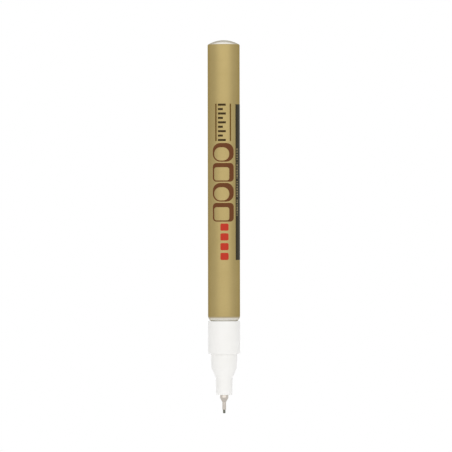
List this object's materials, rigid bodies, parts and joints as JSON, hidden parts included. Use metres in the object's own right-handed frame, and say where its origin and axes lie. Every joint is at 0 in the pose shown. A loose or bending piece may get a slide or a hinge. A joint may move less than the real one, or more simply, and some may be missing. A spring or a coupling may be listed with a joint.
{
  "type": "oil paint marker",
  "caption": "Slim valve-action paint marker, uncapped: domed metal barrel, white cap spigot and nozzle, steel tip tube, sprung nib, valve and mixing ball inside.",
  "frame": {"origin": "end of the nib, on the marker's axis", "axes": "+Z along the axis toward the domed rear end; the printed side faces -Y and the dark printed band lies toward +X"},
  "size_m": [0.0116, 0.0116, 0.134],
  "materials": {
    "barrel_lacquer": "satin",
    "holder_plastic": "satin",
    "seal_rubber": "matte",
    "tip_steel": "polished",
    "nib_plastic": "matte",
    "slider_plastic": "satin",
    "wick_fibre": "matte",
    "seat_rubber": "matte",
    "stem_plastic": "satin",
    "spring_steel": "satin",
    "cage_plastic": "satin",
    "ball_steel": "polished",
    "ink_dark": "satin",
    "ink_red": "satin",
    "ink_brown": "satin",
    "ink_rule": "satin",
    "ink_tick": "satin"
  },
  "bodies": {
    "marker_body": {"barrel": "barrel_lacquer", "front_holder": "holder_plastic", "plug_seal": "seal_rubber", "tip_tube": "tip_steel", "paint_wick": "wick_fibre", "valve_seat": "seat_rubber", "valve_spring": "spring_steel", "valve_cage": "cage_plastic", "print_panel": "ink_dark", "print_bars": "ink_red", "print_blocks": "ink_brown", "print_rules": "ink_rule", "print_ticks": "ink_tick"},
    "nib_train": {"nib": "nib_plastic", "nib_slider": "slider_plastic", "valve_stem": "stem_plastic"},
    "loose_ball": {"mixing_ball": "ball_steel"}
  },
  "joints": [
    {"name": "nib_press", "type": "slide", "parent": "marker_body", "child": "nib_train", "axis": [0, 0, 1], "range_m": [0, 0.001], "stiffness_N_per_m": 600, "springref_m": -0.001, "deforming": ["valve_spring"]},
    {"name": "ball_travel", "type": "slide", "parent": "marker_body", "child": "loose_ball", "axis": [0, 0, 1], "range_m": [0, 0.077]}
  ]
}
